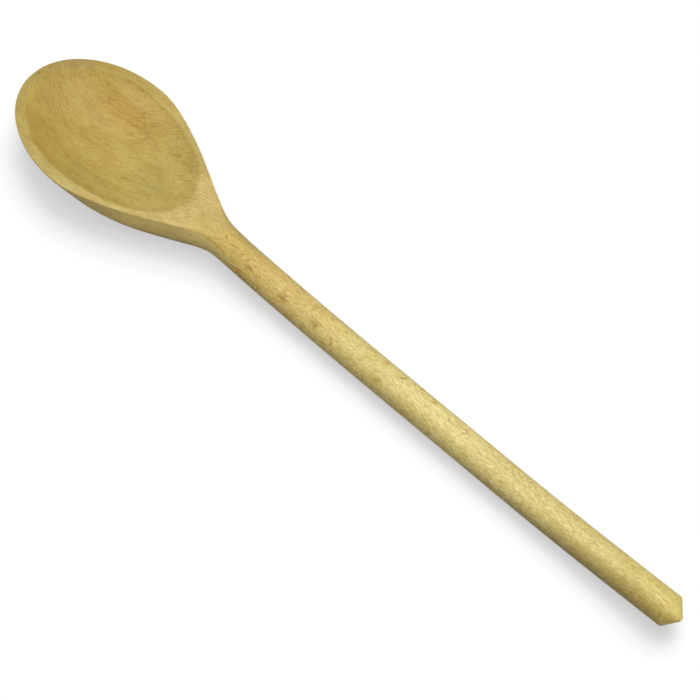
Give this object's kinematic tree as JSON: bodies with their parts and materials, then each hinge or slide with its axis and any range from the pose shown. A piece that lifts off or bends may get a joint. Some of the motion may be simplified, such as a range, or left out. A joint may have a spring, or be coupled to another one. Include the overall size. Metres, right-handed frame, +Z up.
{
  "type": "wooden spoon",
  "caption": "Wooden cooking spoon: an egg-shaped hollowed bowl that runs through a short neck into a long round handle with a blunt conical end.",
  "frame": {"origin": "on the table under the middle of the spoon's length and width, with the spoon lying on its back", "axes": "+X from the bowl's tip to the handle's end, +Z up out of the hollow, the spoon is even about Y = 0"},
  "size_m": [0.3498, 0.061, 0.0189],
  "materials": {
    "beech": "sanded, unvarnished"
  },
  "bodies": {
    "root": {"spoon": "beech"}
  },
  "joints": []
}
